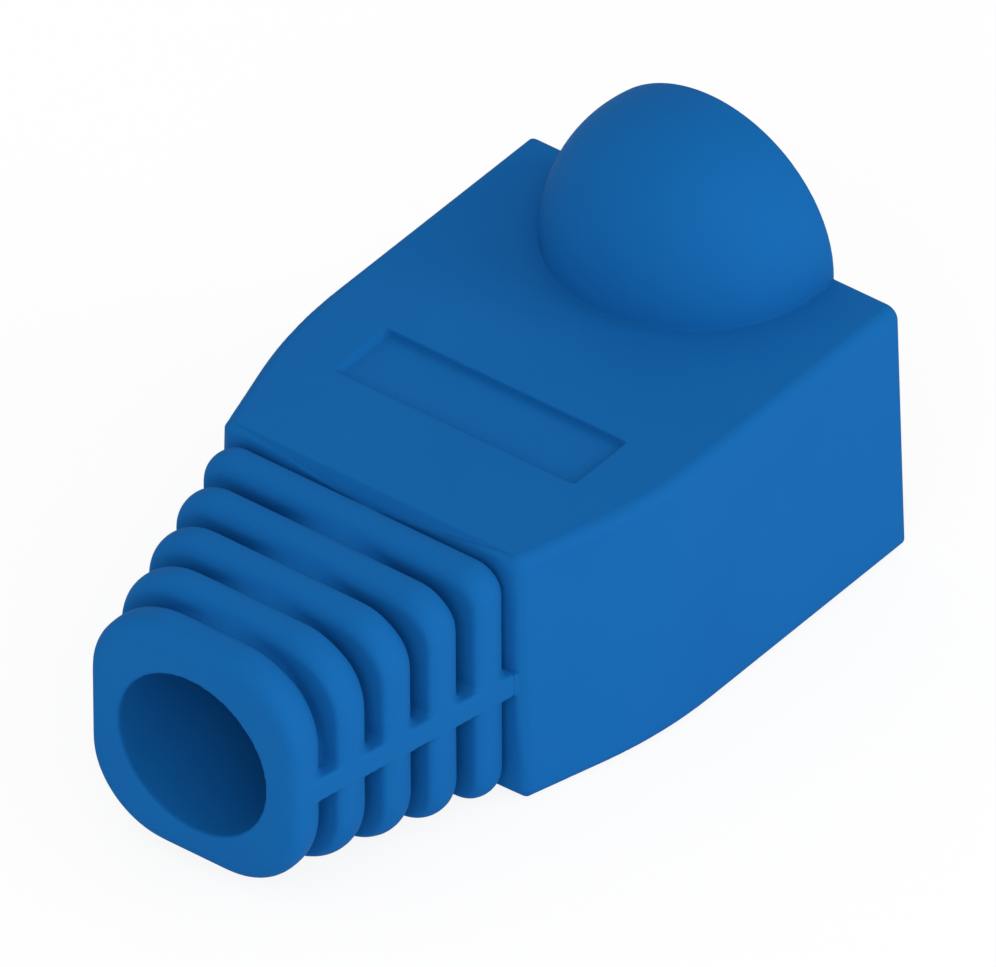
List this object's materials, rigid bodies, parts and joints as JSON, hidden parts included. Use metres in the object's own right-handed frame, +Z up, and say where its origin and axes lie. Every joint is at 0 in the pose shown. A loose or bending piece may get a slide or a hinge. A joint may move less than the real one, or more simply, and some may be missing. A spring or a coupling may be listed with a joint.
{
  "type": "rj45 strain relief boot",
  "caption": "Slip-on moulded boot for a modular plug: ribbed flexible cable sleeve, flared hollow body and a domed hood over the plug's latch.",
  "frame": {"origin": "centre of the cable bore in the plane of the boot's rear face", "axes": "+X along the cable axis from the cable end to the plug mouth, +Y to the left, +Z up towards the latch hood"},
  "size_m": [0.0254, 0.0146, 0.0139],
  "materials": {
    "soft_pvc": "satin moulded soft PVC, blue"
  },
  "bodies": {
    "root": {"boot": "soft_pvc"}
  },
  "joints": []
}
